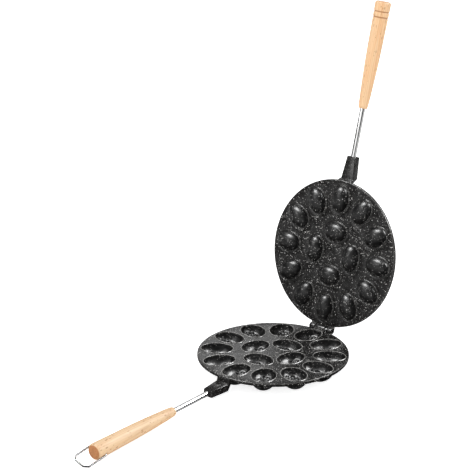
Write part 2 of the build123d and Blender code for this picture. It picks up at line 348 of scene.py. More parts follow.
class Nodes:
    """A node tree under construction, with short calls for its nodes and links."""

    def __init__(self, tree):
        self.tree = tree

    def node(self, kind, settings=None, **inputs):
        made = self.tree.nodes.new(kind)
        for key, value in (settings or {}).items():
            setattr(made, key, value)
        for key, value in inputs.items():
            self.put(made.inputs[key.replace("_", " ")], value)
        return made

    def put(self, entry, value):
        """Links an input to another node's output, or sets its value."""
        if isinstance(value, bpy.types.NodeSocket):
            self.tree.links.new(value, entry)
        else:
            entry.default_value = value

    def fill(self, made, *values):
        """Sets a node's first inputs in their order."""
        for entry, value in zip(made.inputs, values):
            self.put(entry, value)
        return made.outputs

    def maths(self, operation, first, second=0.0):
        made = self.node("ShaderNodeMath", {"operation": operation})
        return self.fill(made, first, second)[0]

    def product(self, first, *others):
        for value in others:
            first = self.maths("MULTIPLY", first, value)
        return first

    def highest(self, first, *others):
        for value in others:
            first = self.maths("MAXIMUM", first, value)
        return first

    def rest(self, share):
        return self.maths("SUBTRACT", 1.0, share)

    def vector(self, operation, first, second=(0, 0, 0)):
        """A vector sum, as a vector or, where it gives one, as a number."""
        made = self.node("ShaderNodeVectorMath", {"operation": operation})
        outputs = self.fill(made, first, second)
        return outputs["Vector" if operation in ("MULTIPLY", "NORMALIZE") else "Value"]

    def from_axis(self, place):
        """Distance from the Z axis."""
        return self.vector("LENGTH", self.vector("MULTIPLY", place, (1, 1, 0)))

    def mix(self, share, first, second):
        made = self.node("ShaderNodeMix", {"data_type": "RGBA"})
        self.put(made.inputs[0], share)
        self.put(made.inputs[6], first)
        self.put(made.inputs[7], second)
        return made.outputs[2]

    def ramp(self, value, low, high, from_low=0.0, from_high=1.0):
        made = self.node("ShaderNodeMapRange", {"interpolation_type": "SMOOTHSTEP"})
        return self.fill(made, value, from_low, from_high, low, high)[0]

    def noise(self, place, scale, detail=2.0, roughness=0.5, distortion=0.0):
        return self.node(
            "ShaderNodeTexNoise", None, Vector=place, Scale=scale, Detail=detail,
            Roughness=roughness, Distortion=distortion,
        ).outputs[0]

    def stretch(self, place, scale, shift=(0, 0, 0)):
        return self.node(
            "ShaderNodeMapping", None, Vector=place, Scale=scale, Location=shift
        ).outputs[0]

    def bump(self, height, distance, strength=1.0, normal=None):
        made = self.node("ShaderNodeBump", None, Strength=strength, Distance=distance)
        self.put(made.inputs["Height"], height)
        if normal:
            self.put(made.inputs["Normal"], normal)
        return made.outputs[0]


class Shader(Nodes):
    """A material under construction."""

    def __init__(self, name):
        self.material = bpy.data.materials.new(name)
        self.material.use_nodes = True
        super().__init__(self.material.node_tree)
        self.surface = self.tree.nodes["Principled BSDF"]

    def grain(self):
        """The place in the piece's own frame, in metres."""
        return self.node("ShaderNodeAttribute", {"attribute_name": "grain"}).outputs["Vector"]

    def finish(self, **inputs):
        for key, value in inputs.items():
            self.put(self.surface.inputs[key.replace("_", " ")], value)
        return self.material


def grey(value, tint=(1, 1, 1)):
    return (value * tint[0], value * tint[1], value * tint[2], 1)


# Zones of the coating: heights over the land and distances from the plate's middle in
# millimetres, as the two ends of one fade, or of a rise and a fall
OFF_LAND = (0.65, 1.0)
NUT_FIELD = (97, 98.5)
# The bead, groove and rim bands below mark where the painted highlight lies
BEAD_BAND = (0.22, 0.42, 0.62, 0.8)
GROOVE_BAND = (-0.75, -0.45, -0.25, -0.06)
RIM_BAND = (98.9, 99.3, 100.02, 100.2)
RIM_HEIGHTS = (-1.3, -0.9, 0.1, 0.2)
SOCKET_FADE = (-103 * MM, -100 * MM)
# How strong the painted highlight is on the grooves' edges and on the rim
GROOVE_HIGHLIGHT = 0.18
RIM_HIGHLIGHT = 0.12

# Pairs of colours between which the coating varies
NUT_COAT = (grey(0.003), grey(0.0055, (1.05, 1, 0.97)))
LAND_COAT = (grey(0.002), grey(0.009, (1.15, 1, 0.90)))
DUST_COLOURS = (grey(0.003), grey(0.07))
FINE_COLOURS = (grey(0.10), grey(0.60, (1, 0.97, 0.93)))
COARSE_COLOURS = (grey(0.40), grey(0.85, (1, 0.98, 0.94)))
# The painted highlight's colour on the beads, the grooves' edges and the rim
PAINTED_HIGHLIGHT_COLOUR = grey(0.48, (1, 0.98, 0.95))

# Along the grip, where the inside of the turned grooves is darker, and how deep in that is
GROOVE_DARK_FROM = (119 * MM, 121 * MM)
GROOVE_DARK_TO = (132 * MM, 134 * MM)
GROOVE_DARK_RADIUS = (9.75 * MM, 10.35 * MM)


def speckle_layer(shader, place, cell, share, size):
    """Scattered grains: 1 inside them and 0 between, and each grain's own tone.

    Cells are in millimetres, a share of them holds a grain, and its radius is at most
    size times the cell.
    """
    cells = shader.node(
        "ShaderNodeTexVoronoi", {"feature": "F1"}, Vector=place, Scale=1 / (cell * MM)
    )
    pick = shader.node("ShaderNodeSeparateColor", None, Color=cells.outputs["Color"])
    chosen = shader.maths("LESS_THAN", pick.outputs[0], share)
    radius = shader.product(pick.outputs[1], size)
    inside = shader.maths("LESS_THAN", cells.outputs["Distance"], radius)
    return shader.product(chosen, inside), pick.outputs[2]


def coating(name):
    """Dark non-stick coating with pale granite grains over cast metal.

    The land has more grains and a finer, livelier relief than the walnuts, and the handle's
    socket has few grains. The beads, the grooves' edges and the rim have a painted
    highlight: a paler colour that stands in for the light they catch.
    """
    shader = Shader(name)
    place = shader.node("ShaderNodeTexCoord").outputs["Object"]
    local = shader.grain()
    split = shader.node("ShaderNodeSeparateXYZ", None, Vector=local).outputs
    height = shader.product(split[2], 1 / MM)
    radius = shader.product(shader.from_axis(local), 1 / MM)

    def band(value, start, full, last, end):
        rise = shader.ramp(value, 0.0, 1.0, start, full)
        return shader.product(rise, shader.ramp(value, 1.0, 0.0, last, end))

    off_land = shader.ramp(shader.maths("ABSOLUTE", height), 0.0, 1.0, *OFF_LAND)
    nut = shader.product(off_land, shader.ramp(radius, 1.0, 0.0, *NUT_FIELD))
    land = shader.rest(nut)
    # Painted highlight: the beads, the grooves' edges and the rim are lightened as if catching
    # light, broken up by the tooth noise
    bead = band(height, *BEAD_BAND)
    groove = shader.product(band(height, *GROOVE_BAND), GROOVE_HIGHLIGHT)
    rim = shader.product(band(radius, *RIM_BAND), band(height, *RIM_HEIGHTS), RIM_HIGHLIGHT)
    painted_highlight = shader.highest(bead, rim, groove)

    cloud = shader.noise(place, 38.0, 4.0, 0.6)
    tooth = shader.noise(place, 720.0, 3.0, 0.7)
    wave = shader.noise(place, 170.0)
    nut_colour = shader.mix(shader.ramp(cloud, 0.0, 1.0, 0.35, 0.65), *NUT_COAT)
    colour = shader.mix(land, nut_colour, shader.mix(tooth, *LAND_COAT))
    highlight_breakup = shader.ramp(tooth, 0.15, 1.0, 0.3, 0.6)
    colour = shader.mix(shader.product(painted_highlight, highlight_breakup), colour, PAINTED_HIGHLIGHT_COLOUR)

    on_plate = shader.ramp(split[0], 0.2, 1.0, *SOCKET_FADE)
    spread = shader.ramp(cloud, 0.14, 0.38, 0.36, 0.62)
    dust, dust_tone = speckle_layer(shader, place, cell=1.5, share=0.50, size=0.50)
    fine, fine_tone = speckle_layer(shader, place, cell=1.3, share=spread, size=0.50)
    coarse, coarse_tone = speckle_layer(shader, place, cell=2.1, share=0.34, size=0.34)
    dust = shader.product(dust, shader.ramp(land, 0.35, 1.0))
    fine = shader.product(fine, on_plate, shader.ramp(land, 0.55, 1.0))
    coarse = shader.product(coarse, on_plate, shader.ramp(land, 0.7, 1.0))
    for grains, tone, colours in (
        (dust, dust_tone, DUST_COLOURS),
        (fine, fine_tone, FINE_COLOURS),
        (coarse, coarse_tone, COARSE_COLOURS),
    ):
        colour = shader.mix(grains, colour, shader.mix(tone, *colours))

    relief = shader.bump(wave, 0.00010, 0.30)
    relief = shader.bump(tooth, 0.00016, shader.ramp(land, 0.12, 0.45), relief)
    rough = shader.ramp(wave, 0.32, 0.38, 0.3, 0.7)
    rough = shader.maths("SUBTRACT", rough, shader.product(land, 0.09))
    rough = shader.maths("ADD", rough, shader.product(shader.highest(fine, coarse), 0.12))
    return shader.finish(
        Base_Color=colour, Roughness=rough, Normal=relief, Specular_IOR_Level=0.5
    )


def wood(name, light, middle, dark):
    """Turned beech: long grain in three tones, with short dark flecks."""
    shader = Shader(name)
    place = shader.grain()
    along = shader.stretch(place, (1, 1, 0.045), (0.031, 0.012, 0))
    fibres = shader.noise(along, 900.0, 6.0, 0.65)
    bands = shader.noise(along, 210.0, 3.0, distortion=0.6)
    patches = shader.noise(place, 28.0)
    rings = shader.node(
        "ShaderNodeTexWave",
        {"wave_type": "RINGS", "rings_direction": "Z"},
        Vector=along,
        Scale=150.0,
        Distortion=3.0,
        Detail=2.0,
    ).outputs["Fac"]
    fleck, fleck_tone = speckle_layer(
        shader, shader.stretch(place, (1, 1, 0.35)), cell=2.0, share=0.50, size=0.45
    )
    fleck = shader.product(fleck, shader.ramp(fleck_tone, 0.2, 0.7))
    colour = shader.mix(shader.ramp(bands, 0.0, 1.0, 0.38, 0.66), light, middle)
    colour = shader.mix(shader.ramp(rings, 0.0, 0.22, 0.55, 1.0), colour, dark)
    colour = shader.mix(shader.ramp(fibres, 0.0, 0.16, 0.50, 0.80), colour, dark)
    colour = shader.mix(shader.ramp(patches, 0.0, 0.25, 0.3, 0.7), colour, light)
    colour = shader.mix(fleck, colour, dark)
    distance = shader.node("ShaderNodeSeparateXYZ", None, Vector=place).outputs[2]
    # Darker colour inside the turned grooves near the grip's end
    groove_dark = shader.product(
        shader.ramp(shader.from_axis(place), 0.85, 0.0, *GROOVE_DARK_RADIUS),
        shader.ramp(distance, 0.0, 1.0, *GROOVE_DARK_FROM),
        shader.ramp(distance, 1.0, 0.0, *GROOVE_DARK_TO),
    )
    colour = shader.mix(groove_dark, colour, dark)
    return shader.finish(
        Base_Color=colour,
        Roughness=shader.ramp(fibres, 0.45, 0.6, 0.3, 0.7),
        Normal=shader.bump(fibres, 0.00005, 0.5),
        Specular_IOR_Level=0.3,
    )


def steel(name, base, low_rough, high_rough, scratch=(1, 1, 1)):
    """Metal with fine scratches and a faint cloud of wear."""
    shader = Shader(name)
    place = shader.grain()
    marks = shader.noise(shader.stretch(place, scratch), 1400.0, 4.0)
    cloud = shader.noise(place, 60.0)
    colour = shader.mix(shader.ramp(cloud, 0.0, 1.0, 0.3, 0.7), grey(base), grey(base * 0.86))
    return shader.finish(
        Base_Color=colour,
        Metallic=1.0,
        Roughness=shader.ramp(marks, low_rough, high_rough, 0.3, 0.7),
        Normal=shader.bump(marks, 0.00002, 0.5),
    )


coated = coating("granite_coating")
pale_wood = wood(
    "pale_wood", (0.89, 0.63, 0.38, 1), (0.83, 0.52, 0.28, 1), (0.50, 0.22, 0.09, 1)
)
warm_wood = wood(
    "warm_wood", (0.95, 0.64, 0.37, 1), (0.91, 0.52, 0.26, 1), (0.46, 0.21, 0.08, 1)
)
end_wood = wood(
    "wood_end_grain", (0.62, 0.27, 0.11, 1), (0.52, 0.21, 0.08, 1), (0.30, 0.11, 0.04, 1)
)
plated = steel("plated_steel", 0.82, 0.04, 0.13, scratch=(1, 1, 0.06))
wire_steel = steel("wire_steel", 0.28, 0.10, 0.25)
plain_steel = steel("plain_steel", 0.48, 0.28, 0.45)
dark_steel = steel("blackened_steel", 0.10, 0.30, 0.45)


# Half walnuts ---------------------------------------------------------------

# The relief of a shell, on half of it: arcs as centre along and across, radius,
# first and last angle, as shares of the half length or in degrees
SHELL_ARCS = (
    (0.42, 0.36, 3.6, -150, 90),
    (0.10, 0.52, 4.2, 150, 330),
    (-0.36, 0.40, 3.8, 20, 250),
    (-0.66, 0.18, 3.2, 60, 210),
    (0.72, 0.16, 2.8, -60, 120),
)
ARC_HEIGHT = 1.2
ARC_WIDTH = 0.65
SEAM_HEIGHT = 1.1
SEAM_WIDTH = 0.8
SEAM_END = 0.86
SEAM_SWAY = 0.7
SEAM_WAVE = 0.33
RELIEF_RISE = 6
LUMP_HEIGHT = 0.35
LUMP_WAVE = 0.22
CAVITY_FULLNESS = 2.3
CORE_FULLNESS = 2.15


def nut_outline(length, width, grow=0.0, count=NUT_POINTS):
    """Points round an oval, grown outwards along its normal."""
    points = []
    for index in range(count):
        angle = 2 * math.pi * index / count
        normal = Vector((math.cos(angle) / length, math.sin(angle) / width)).normalized()
        points.append(
            (
                length * math.cos(angle) + normal.x * grow,
                width * math.sin(angle) + normal.y * grow,
            )
        )
    return points


def shell_relief(along, across):
    """Height in mm of the walnut shell's seam and ribs at a place in the cavity."""
    seam_bend = SEAM_SWAY * math.sin(along * SEAM_WAVE)
    seam_fade = max(0.0, 1 - (along / (NUT_LENGTH * SEAM_END)) ** 4)
    height = SEAM_HEIGHT * seam_fade * math.exp(-(((across - seam_bend) / SEAM_WIDTH) ** 2))
    mirrored = -1 if across < 0 else 1
    x, y = along * mirrored, across * mirrored
    for centre_x, centre_y, radius, first, last in SHELL_ARCS:
        to_x, to_y = x - centre_x * NUT_LENGTH, y - centre_y * NUT_WIDTH
        angle = math.degrees(math.atan2(to_y, to_x))
        middle, half = (first + last) / 2, (last - first) / 2
        away = abs((angle - middle + 180) % 360 - 180) - half
        off_end = max(0.0, math.radians(away)) * radius
        off = math.hypot(math.hypot(to_x, to_y) - radius, off_end)
        height = max(height, ARC_HEIGHT * math.exp(-((off / ARC_WIDTH) ** 2)))
    return height


def bowl_rings(length, width, depth, relief, full=CAVITY_FULLNESS):
    """Rings of a half walnut from its outline down to its middle, as (x, y, down).

    A fullness of 2 is an ellipse, and more is boxier.
    """
    rings = []
    steps = NUT_RINGS if relief else SMOOTH_RINGS
    for step in range(1, steps + 1):
        turn = math.pi / 2 * step / (steps + 0.5)
        share = math.cos(turn) ** (2 / full)
        down = depth * math.sin(turn) ** (2 / full)
        ring = []
        for x, y in nut_outline(length * share, width * share):
            lump = 0.0
            if relief:
                lump = shell_relief(x, y) * min(1.0, step / RELIEF_RISE)
                lump += LUMP_HEIGHT * noise.noise(Vector((x, y, down)) * LUMP_WAVE)
            size = math.sqrt(x * x + y * y + down * down)
            keep = 1 - lump / max(size, 1)
            ring.append((x * keep, y * keep, down * keep))
        rings.append(ring)
    return rings


def nut_places():
    """Where the walnuts lie: a ring pointing outwards and four turned across."""
    places = []
    for count, ring, turned in ((OUTER_COUNT, OUTER_RING, 0), (INNER_COUNT, INNER_RING, 90)):
        for index in range(count):
            angle = 2 * math.pi * index / count
            place = Matrix.Translation((ring * math.cos(angle), ring * math.sin(angle), 0))
            places.append(place @ Matrix.Rotation(angle + math.radians(turned), 4, "Z"))
    return places


def placed(place, points):
    return [tuple(place @ Vector(point)) for point in points]


def sink(mesh, place, profile_rings):
    """A strip of rings that ends in a middle point, placed on the plate."""
    rings = join_rings(mesh, [placed(place, ring) for ring in profile_rings])
    last = profile_rings[-1]
    centre = sum((Vector(point) for point in last), Vector((0, 0, 0))) / len(last)
    close_ring(mesh, rings[-1], tuple(place @ centre))


def level(outline, z):
    return [(x, y, z) for x, y in outline]


def cavity_rings():
    """The land's edge, the raised bead and the cavity with its relief."""
    bead = (
        (BEAD_WIDTH + 0.5, 0.0),
        (BEAD_WIDTH + 0.12, 0.03),
        (BEAD_WIDTH - 0.1, 0.25),
        (BEAD_WIDTH * 0.68, BEAD_HEIGHT * 0.93),
        (BEAD_WIDTH * 0.48, BEAD_HEIGHT),
        (BEAD_WIDTH * 0.26, BEAD_HEIGHT * 0.93),
        (0.08, BEAD_HEIGHT * 0.5),
        (0.0, 0.0),
    )
    length, width = NUT_LENGTH + MOUTH_EASE, NUT_WIDTH + MOUTH_EASE
    rings = [level(nut_outline(length, width, grow), z) for grow, z in bead]
    bowl = bowl_rings(length, width, NUT_DEPTH - BEAD_HEIGHT, True)
    return rings + [[(x, y, -down) for x, y, down in ring] for ring in bowl]


def core_rings():
    """The shallow groove round a core and the smooth half walnut inside it."""
    length, width = NUT_LENGTH - CORE_MARGIN, NUT_WIDTH - CORE_MARGIN
    far = CORE_MARGIN + CORE_GROOVE_MARGIN
    groove = (
        (far + 0.35, 0.0),
        (far + 0.1, -0.08),
        (far, -0.3),
        (far - 0.15, -0.55),
        (far - 0.5, -CORE_GROOVE_SINK),
        (0.6, -CORE_GROOVE_SINK),
        (0.2, -CORE_GROOVE_SINK + 0.2),
        (0.02, -0.2),
        (0.0, 0.3),
    )
    rings = [level(nut_outline(length, width, grow), z) for grow, z in groove]
    bowl = bowl_rings(length, width, NUT_DEPTH - CORE_GAP, False, CORE_FULLNESS)
    return rings + [[(x, y, max(down, 0.5)) for x, y, down in ring] for ring in bowl]


def bulge_rings():
    """The rounded outside of a cavity, flat at its foot."""
    length, width = NUT_LENGTH + SHELL_WALL, NUT_WIDTH + SHELL_WALL
    deepest = REST_DEPTH + FOOT_CROWN
    rings = []
    for turned in BULGE_TURNS:
        share, down = math.cos(math.radians(turned)), deepest * math.sin(math.radians(turned))
        fillet = 0.5 * max(0.0, 1 - (turned - BULGE_TURNS[0]) / 3.0) ** 2
        ring = nut_outline(length * share, width * share, fillet)
        down = min(max(down, PLATE_THICKNESS), REST_DEPTH)
        rings.append(level(ring, -down))
    return rings


def hollow_rings():
    """The hollow in the lid's back behind one core."""
    length, width = NUT_LENGTH - CORE_MARGIN - CORE_WALL, NUT_WIDTH - CORE_MARGIN - CORE_WALL
    edge = ((0.5, 0.0), (0.15, 0.12), (0.0, 0.5))
    rings = [
        level(nut_outline(length, width, grow), z - PLATE_THICKNESS) for grow, z in edge
    ]
    depth = PLATE_THICKNESS + NUT_DEPTH - CORE_GAP - CORE_WALL
    bowl = bowl_rings(length, width, depth, False)
    return rings + [
        [(x, y, max(down, 0.6) - PLATE_THICKNESS) for x, y, down in ring] for ring in bowl
    ]


# Castings -------------------------------------------------------------------

def plate(name, matrix, body, node, top_rings, under_rings):
    """A round plate with walnuts on its land and their shells on its other side."""
    mesh = bmesh.new()
    places = nut_places()
    for rings in (top_rings, under_rings):
        for place in places:
            sink(mesh, place, rings)
    edge = (
        (PLATE_RADIUS - 1.0, 0.0),
        (PLATE_RADIUS - 0.45, -0.12),
        (PLATE_RADIUS - 0.12, -0.45),
        (PLATE_RADIUS, -1.0),
        (PLATE_RADIUS, -PLATE_THICKNESS + 1.2),
        (PLATE_RADIUS - 0.15, -PLATE_THICKNESS + 0.55),
        (PLATE_RADIUS - 0.55, -PLATE_THICKNESS + 0.15),
        (PLATE_RADIUS - 1.2, -PLATE_THICKNESS),
    )
    join_rings(mesh, [circle_points(radius, z, RIM_POINTS) for radius, z in edge])
    for outline, rings, z in (
        (edge[0][0], top_rings, 0.0),
        (edge[-1][0], under_rings, -PLATE_THICKNESS),
    ):
        holes = [placed(place, rings[0]) for place in places]
        fill_land(mesh, circle_points(outline, z, RIM_POINTS), holes, z)
    return make_object(name, mesh, matrix, body, node, coated)


def rounded_section(x, half_width, top, bottom, radius=1.1, steps=4):
    """A rounded rectangle across the handle at one place along it."""
    points = []
    corners = (
        (half_width, top, 0),
        (-half_width, top, 90),
        (-half_width, bottom, 180),
        (half_width, bottom, 270),
    )
    for y, z, turn in corners:
        centre_y = y - math.copysign(radius, y)
        centre_z = z - (radius if z == top else -radius)
        for step in range(steps + 1):
            angle = math.radians(turn + 90 * step / steps)
            points.append(
                (x, centre_y + radius * math.cos(angle), centre_z + radius * math.sin(angle))
            )
    return points


def cut(piece, cutter_mesh, matrix, home):
    """Takes a helper shape out of a piece, whose own frame is home."""
    mesh = bpy.data.meshes.new("cutter")
    bmesh.ops.recalc_face_normals(cutter_mesh, faces=cutter_mesh.faces)
    cutter_mesh.to_mesh(mesh)
    cutter_mesh.free()
    mesh.transform(Matrix.Scale(MM, 4) @ matrix)
    cutter = add_object("cutter", mesh)
    modifier = piece.modifiers.new("cut", "BOOLEAN")
    modifier.operation = "DIFFERENCE"
    modifier.solver = "EXACT"
    modifier.object = cutter
    graph = bpy.context.evaluated_depsgraph_get()
    result = bpy.data.meshes.new_from_object(piece.evaluated_get(graph))
    piece.modifiers.clear()
    piece.data = result
    mark_grain(result, home)
    bpy.data.objects.remove(cutter)
    smooth(result)


def socket(name, plate_matrix, tilt, side, body, node):
    """The neck and the tapered block at a plate's edge that takes the rod."""
    slope = math.tan(math.radians(tilt))
    root_x = -(PLATE_RADIUS + SOCKET_ROOT)
    end_x = root_x - SOCKET_LENGTH
    half = SOCKET_DEPTH / 2

    def axis_z(x):
        return -HANDLE_OFFSET + (x - root_x) * slope

    def half_width(x):
        share = (x + PLATE_RADIUS + TAPER_START) / (end_x + PLATE_RADIUS + TAPER_START)
        return (SOCKET_ROOT_WIDTH + (SOCKET_END_WIDTH - SOCKET_ROOT_WIDTH) * share) / 2

    neck = NECK_WIDTH / 2
    rim = -PLATE_RADIUS
    foot = rim + NECK_FOOT
    under = -PLATE_THICKNESS
    sections = [
        (rim + ARM_OVERLAP, neck + 1.5, -0.3, under + 0.3),
        (foot, neck + 0.9, -0.3, under - 0.2),
        (rim + 2.2, neck + 0.5, -0.3, -7.9),
        (rim + 0.6, neck + 0.15, -0.3, -10.6),
        (rim - 0.1, neck, -0.4, -11.9),
        (rim - 0.55, neck - 0.05, -1.1, -12.6),
        (rim - 0.9, neck - 0.1, -2.0, -13.2),
        (rim - 1.9, neck - 0.15, -5.0, -14.8),
        (rim - 2.6, neck - 0.2, axis_z(rim - 2.6) + half, -15.9),
        (rim - 3.6, half_width(rim - 3.6), axis_z(rim - 3.6) + half,
         axis_z(root_x) - half + 0.2),
        (rim - 4.6, half_width(rim - 4.6), axis_z(rim - 4.6) + half, axis_z(rim - 4.6) - half),
        (end_x + 0.9, half_width(end_x + 0.9), axis_z(end_x) + half, axis_z(end_x) - half),
        (end_x + 0.25, half_width(end_x) - 0.3, axis_z(end_x) + half - 0.3,
         axis_z(end_x) - half + 0.3),
        (end_x, half_width(end_x) - 0.9, axis_z(end_x) + half - 0.9,
         axis_z(end_x) - half + 0.9),
    ]
    mesh = bmesh.new()
    rings = join_rings(mesh, [rounded_section(*section) for section in sections])
    for ring in (rings[0], rings[-1]):
        mesh.faces.new(ring)
    piece = make_object(
        name, mesh, plate_matrix, body, node, coated, SHARP_CASTING
    )
    handle = handle_matrix(plate_matrix, tilt)
    bore = bmesh.new()
    revolve(
        bore,
        [(ROD_RADIUS + 0.02, ROD_ROOT), (ROD_RADIUS + 0.02, SOCKET_LENGTH - 0.5),
         (ROD_RADIUS + 0.7, SOCKET_LENGTH + 0.3), (ROD_RADIUS + 0.7, SOCKET_LENGTH + 3)],
        SMALL_POINTS,
    )
    cut(piece, bore, handle, plate_matrix)
    recess = bmesh.new()
    seat = half - RECESS_DEPTH
    ends = [(RECESS_RADIUS, seat), (RECESS_RADIUS, seat + RECESS_REACH)]
    revolve(recess, ends, FINE_POINTS)
    cut(piece, recess, rivet_matrix(handle, side), plate_matrix)
    return piece


def rivet_matrix(handle, side):
    """Across the rivet at the rod's axis, Z to the land (+1) or away from it (-1)."""
    return handle @ Matrix.Translation((0, 0, RIVET_DISTANCE)) @ frame_matrix(
        (0, 0, 0), (0, 0, 1), (0, -side, 0)
    )


def side_profile(name, outline, widths, matrix, body, node):
    """A hinge arm: a side outline drawn out between two widths, with its edges eased."""
    mesh = bmesh.new()
    near, far = (
        [mesh.verts.new((x, width, z)) for x, z in outline] for width in widths
    )
    bridge(mesh, near, far)
    mesh.faces.new(near)
    mesh.faces.new(far)
    bmesh.ops.recalc_face_normals(mesh, faces=mesh.faces)
    rims = [edge for edge in mesh.edges if edge.verts[0].co.y == edge.verts[1].co.y]
    bmesh.ops.bevel(
        mesh, geom=rims, offset=ARM_EDGE, segments=3, profile=0.5, affect="EDGES"
    )
    piece = make_object(
        name, mesh, matrix, body, node, coated, SHARP_CASTING
    )
    bore = bmesh.new()
    bore_radius = PIN_RADIUS + PIN_CLEARANCE
    revolve(bore, [(bore_radius, -BORE_REACH), (bore_radius, BORE_REACH)], FINE_POINTS)
    cut(piece, bore, matrix @ hinge_axis(), matrix)
    return piece


def eye_arc(first, last, steps=28):
    """Points round the hinge eye, seen from the side, between two angles."""
    points = []
    for step in range(steps + 1):
        angle = math.radians(first + (last - first) * step / steps)
        points.append(
            (
                HINGE_X + EYE_RADIUS * math.cos(angle),
                LAND_GAP / 2 + EYE_RADIUS * math.sin(angle),
            )
        )
    return points


def arm_outline(last, tongue):
    """A hinge arm from the side: its top, its eye to an angle, and what follows it."""
    left = PLATE_RADIUS - ARM_OVERLAP
    return (
        [(left, ARM_TOP), (HINGE_X - EYE_RADIUS * 0.97, ARM_TOP)]
        + eye_arc(172, last)
        + tongue
        + [(left, -PLATE_THICKNESS)]
    )


def knuckle_outline():
    """The lower plate's middle eye with the tongue that the open lid rests on."""
    rest = math.radians(180 - OPEN_ANGLE)
    towards_lid = Vector((math.cos(rest), math.sin(rest)))
    along_rim = Vector((math.sin(rest), -math.cos(rest)))
    near = Vector((HINGE_X, LAND_GAP / 2)) + towards_lid * (HINGE_OFFSET - STOP_GAP)
    far = near + along_rim * ((STOP_LENGTH - towards_lid.x) / along_rim.x)
    tongue = [tuple(near), tuple(far), (far.x, -PLATE_THICKNESS)]
    return arm_outline(math.degrees(rest) + 4, tongue)


def lug_outline():
    """One of the lid's two outer eyes, rounded all the way down."""
    return arm_outline(-90, [])


# Handles --------------------------------------------------------------------

def grip_radius(distance):
    """The turned belly's radius at a distance from the grip's front end."""
    for (start, low), (end, high) in zip(GRIP_SHAPE, GRIP_SHAPE[1:]):
        if distance <= end:
            share = (distance - start) / (end - start)
            return low + (high - low) * share
    return GRIP_SHAPE[-1][1]


def grip_profile(grooves):
    """The grip's outline as (radius, distance), from its bore's mouth to its end."""
    profile = [(ROD_RADIUS + 0.05, 1.5), (ROD_RADIUS + 0.35, 0.25), (ROD_RADIUS + 0.7, 0.0)]
    front = grip_radius(0.0)
    profile += [(front - 0.7, 0.0), (front - 0.25, 0.15), (front + 0.1, 0.5)]
    last = GRIP_LENGTH - GRIP_EDGE
    distances = [0.8 + (last - 0.8) * step / GRIP_STEPS for step in range(GRIP_STEPS)]
    for place in grooves:
        keep_off = GRIP_GROOVE_HALF_WIDTH * 1.6
        distances = [distance for distance in distances if abs(distance - place) > keep_off]
        distances += [place + GRIP_GROOVE_HALF_WIDTH * share for share in GROOVE_STEPS]
    for distance in sorted(distances):
        dip = 0.0
        for place in grooves:
            off = (distance - place) / GRIP_GROOVE_HALF_WIDTH
            dip += GRIP_GROOVE_DEPTH * max(0.0, 1 - off**2) ** 0.5
        profile.append((grip_radius(distance) - dip, distance))
    for step in range(GRIP_END_STEPS + 1):
        angle = math.radians(90 * step / GRIP_END_STEPS)
        profile.append(
            (
                grip_radius(last) - GRIP_EDGE * (1 - math.cos(angle)),
                last + GRIP_EDGE * math.sin(angle),
            )
        )
    return profile


def grip(name, handle, body, node, grooves, side_wood):
    """A turned wood grip with its end grain as a second material."""
    mesh = bmesh.new()
    revolve(mesh, grip_profile(grooves), ROUND_POINTS)
    matrix = handle @ Matrix.Translation((0, 0, GRIP_FRONT))
    end_grain_radius = grip_radius(GRIP_LENGTH) - GRIP_EDGE * 0.55
    for face in mesh.faces:
        centre = face.calc_center_median()
        at_end = centre.z > GRIP_LENGTH - END_GRAIN_DEPTH
        if at_end and math.hypot(centre.x, centre.y) < end_grain_radius:
            face.material_index = 1
    return make_object(
        name, mesh, matrix, body, node, (side_wood, end_wood), SHARP_TURNED
    )


def rod(name, handle, body, node):
    """A bright rod from the socket's bottom into the grip."""
    mesh = bmesh.new()
    end = GRIP_FRONT + ROD_IN_GRIP
    profile = round_corner(
        [(0.5, ROD_ROOT), (ROD_RADIUS, ROD_ROOT), (ROD_RADIUS, end), (0.5, end)], ROD_EDGE
    )
    revolve(mesh, profile, FINE_POINTS)
    return make_object(name, mesh, handle, body, node, plated, SHARP_TURNED)


def rivet(name, handle, side, body, node):
    """A rivet with its round head in the socket's recess."""
    seat = SOCKET_DEPTH / 2 - RECESS_DEPTH
    mesh = bmesh.new()
    dome = [
        (
            RIVET_HEAD_RADIUS * math.cos(math.radians(turn)),
            seat + 0.2 + (RIVET_HEAD_HEIGHT - 0.2) * math.sin(math.radians(turn)),
        )
        for turn in range(0, 90, 9)
    ]
    profile = [
        (RIVET_RADIUS - 0.3, -RIVET_TAIL),
        (RIVET_RADIUS, -RIVET_TAIL + 0.3),
        (RIVET_RADIUS, seat),
        (RIVET_HEAD_RADIUS, seat),
    ]
    revolve(mesh, profile + dome, SMALL_POINTS)
    return make_object(
        name, mesh, rivet_matrix(handle, side), body, node, dark_steel,
        SHARP_CASTING,
    )


def hinge_pin():
    """The pin through the eyes, pressed in flush at one side."""
    start, end = PIN_ENDS
    profile = [
        (PIN_RADIUS - PIN_EDGE, start),
        (PIN_RADIUS, start + PIN_EDGE),
        (PIN_RADIUS, end - PIN_EDGE),
        (PIN_RADIUS - PIN_EDGE, end),
    ]
    mesh = bmesh.new()
    revolve(mesh, profile, FINE_POINTS)
    return make_object(
        "hinge_pin_steel", mesh, hinge_axis(), "lid", "hinge_pin", plain_steel,
        SHARP_CASTING,
    )


def bail_matrix(handle):
    """The bail's plane, X along its pivot and Y towards its bow, and the pivot's frame."""
    pivot = handle @ Matrix.Translation((0, 0, GRIP_FRONT + GRIP_LENGTH - BAIL_FROM_END))
    turned = pivot @ Matrix.Rotation(math.radians(-GRIP_TURN), 4, "Z")
    axis_x = turned.col[0].to_3d()
    out = turned.col[2].to_3d()
    droop = math.radians(BAIL_DROOP)
    reach = out * math.cos(droop) + turned.col[1].to_3d() * math.sin(droop)
    return frame_matrix(pivot.translation, axis_x, axis_x.cross(reach)), turned


